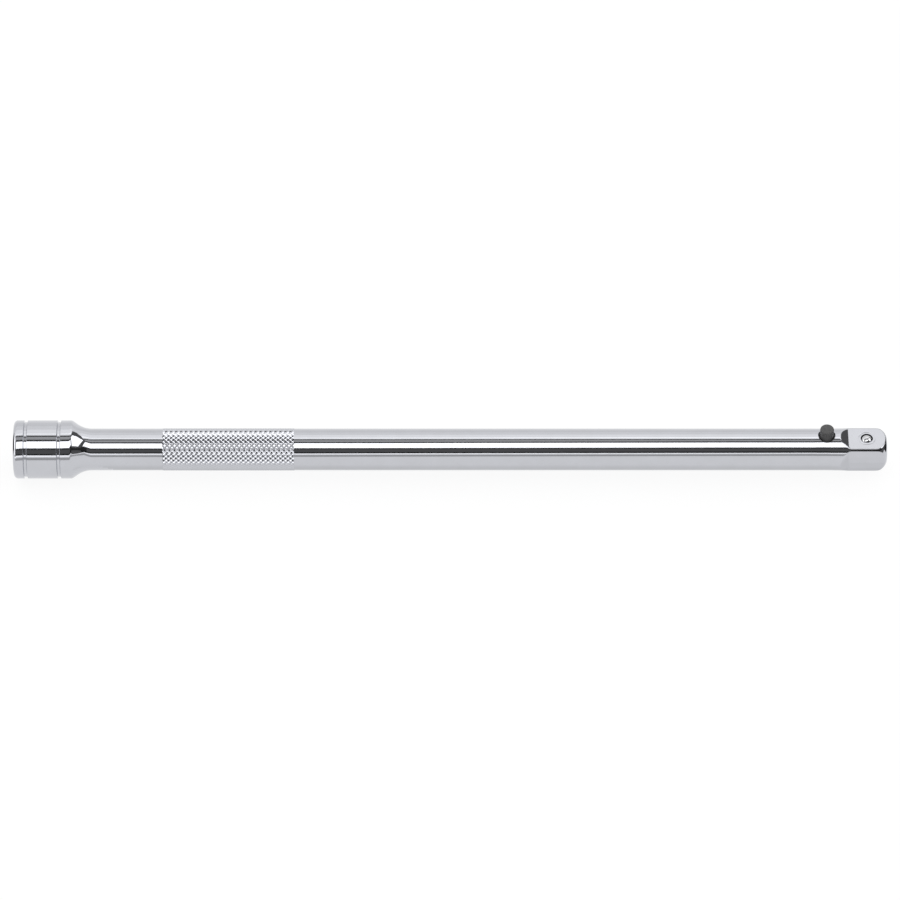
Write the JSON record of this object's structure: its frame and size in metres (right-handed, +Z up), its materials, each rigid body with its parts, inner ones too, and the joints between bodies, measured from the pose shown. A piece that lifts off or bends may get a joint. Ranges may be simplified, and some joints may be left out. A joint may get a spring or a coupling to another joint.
{
  "type": "socket extension bar",
  "caption": "Chromed locking socket extension bar: square socket end, knurled grip band, round shank, and a square drive whose locking ball a side push button releases.",
  "frame": {"origin": "on the surface the bar lies on, under the middle of its length", "axes": "+X along the bar from the socket end to the square drive, +Z up through the locking ball and the release button, +Y across the bar"},
  "size_m": [0.254, 0.017, 0.0174],
  "materials": {
    "chrome_plate": "polished",
    "ground_steel": "satin",
    "spring_steel": "satin",
    "bearing_steel": "polished",
    "black_oxide": "matte"
  },
  "bodies": {
    "bar": {"extension_bar": "chrome_plate", "button_bush": "black_oxide", "bore_plug": "ground_steel", "plunger_spring": "spring_steel"},
    "button": {"release_button": "black_oxide"},
    "plunger": {"lock_plunger": "ground_steel"},
    "ball": {"lock_ball": "bearing_steel"}
  },
  "joints": [
    {"name": "button_press", "type": "slide", "parent": "bar", "child": "button", "axis": [0, 0, -1], "range_m": [0, 0.0016], "stiffness_N_per_m": 300, "springref_m": -0.004},
    {"name": "plunger_slide", "type": "slide", "parent": "bar", "child": "plunger", "axis": [-1, 0, 0], "range_m": [0, 0.0016], "deforming": ["plunger_spring"]},
    {"name": "ball_sink", "type": "slide", "parent": "bar", "child": "ball", "axis": [0, 0, -1], "range_m": [0, 0.0005]}
  ],
  "couplings": [
    {"joint": "plunger_slide", "follows": "button_press", "ratio": 1},
    {"joint": "ball_sink", "follows": "button_press", "ratio": 0.3125}
  ]
}
